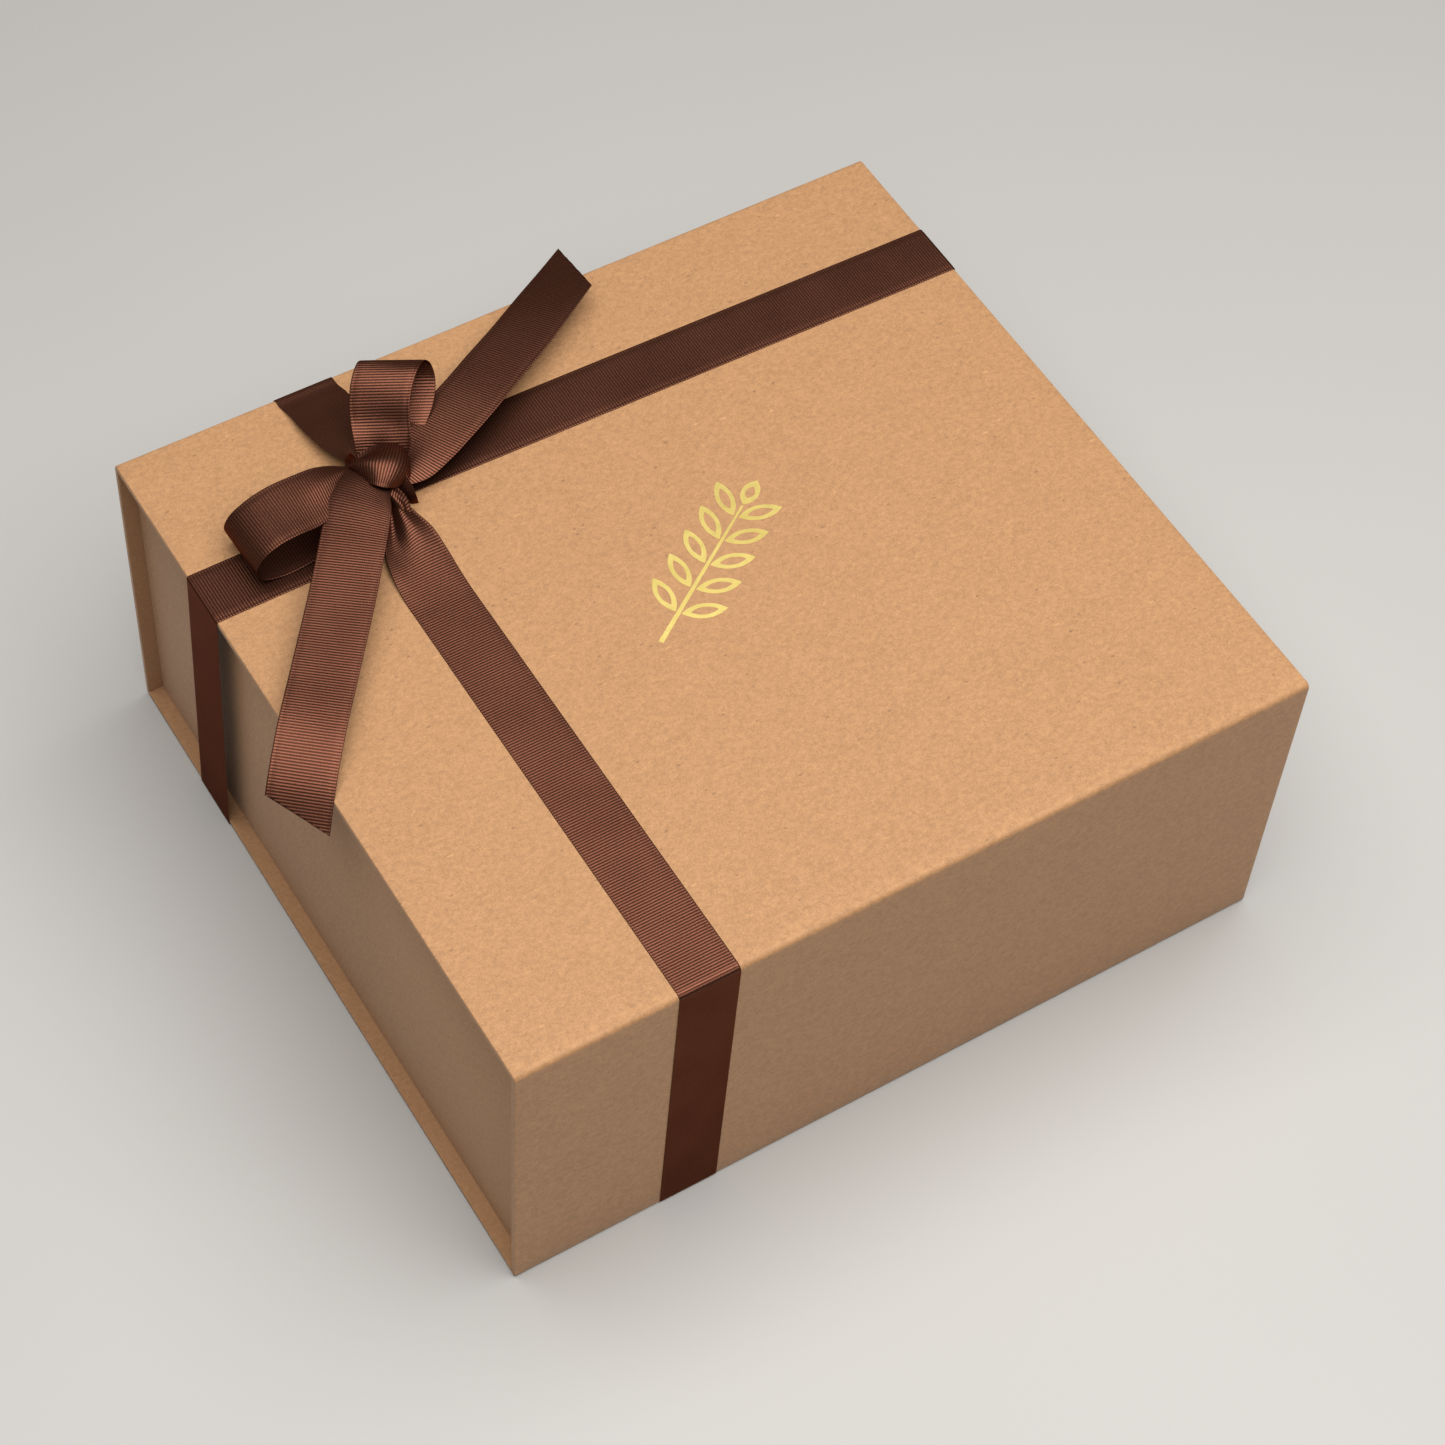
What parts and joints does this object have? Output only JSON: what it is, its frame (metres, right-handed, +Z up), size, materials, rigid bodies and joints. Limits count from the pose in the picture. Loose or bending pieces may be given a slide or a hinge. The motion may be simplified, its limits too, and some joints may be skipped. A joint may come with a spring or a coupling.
{
  "type": "gift box",
  "caption": "Rigid book-style gift box with a hinged lid, a magnetic front flap and a glued-in tray, covered in kraft paper and tied both ways with ribbon and a bow.",
  "frame": {"origin": "centre of the box on the surface it stands on, taken at the box itself and not at the bow, whose left tail hangs past one side", "axes": "+Z up, -Y towards the front flap, +Y towards the spine, +X to the right seen from the front"},
  "size_m": [0.3192, 0.2892, 0.1582],
  "materials": {
    "kraft_wrap": "uncoated kraft, fine recycled flecks",
    "greyboard": "raw greyboard",
    "lining_paper": "uncoated kraft",
    "stay_tape": "gummed paper tape",
    "magnet": "nickel plated",
    "gold_foil": "hot-stamped metallic foil",
    "grosgrain": "ribbed grosgrain ribbon, soft sheen"
  },
  "bodies": {
    "base_and_tray": {"base_board": "greyboard", "base_liner": "lining_paper", "base_wrap": "kraft_wrap", "spine_board": "greyboard", "spine_liner": "lining_paper", "spine_wrap": "kraft_wrap", "tray_back_wall": "greyboard", "tray_left_wall": "greyboard", "tray_right_wall": "greyboard", "tray_front_wall": "greyboard", "tray_floor": "greyboard", "tray_wrap": "kraft_wrap", "tray_liner": "lining_paper", "tray_magnets": "magnet", "corner_stays": "stay_tape", "ribbon_under": "grosgrain", "ribbon_left_drop": "grosgrain", "ribbon_right_drop": "grosgrain", "ribbon_back_drop": "grosgrain"},
    "lid": {"lid_board": "greyboard", "lid_liner": "lining_paper", "lid_wrap": "kraft_wrap", "lid_fold_strip": "kraft_wrap", "flap_fold_strip": "kraft_wrap", "foil_sprig": "gold_foil", "ribbon_lid_long": "grosgrain", "ribbon_lid_front": "grosgrain", "ribbon_lid_back": "grosgrain", "bow_knot": "grosgrain", "bow_loop_left": "grosgrain", "bow_loop_back": "grosgrain", "bow_tail_left": "grosgrain", "bow_tail_back": "grosgrain"},
    "flap": {"flap_board": "greyboard", "flap_liner": "lining_paper", "flap_wrap": "kraft_wrap", "flap_magnets": "magnet", "ribbon_front_drop": "grosgrain"}
  },
  "joints": [
    {"name": "lid_hinge", "type": "hinge", "parent": "base_and_tray", "child": "lid", "pos_m": [0, 0.13686, 0.12976], "axis": [-1, 0, 0], "range_deg": [0, 105]},
    {"name": "flap_hinge", "type": "hinge", "parent": "lid", "child": "flap", "pos_m": [0, -0.13686, 0.12976], "axis": [-1, 0, 0], "range_deg": [0, 90]}
  ]
}
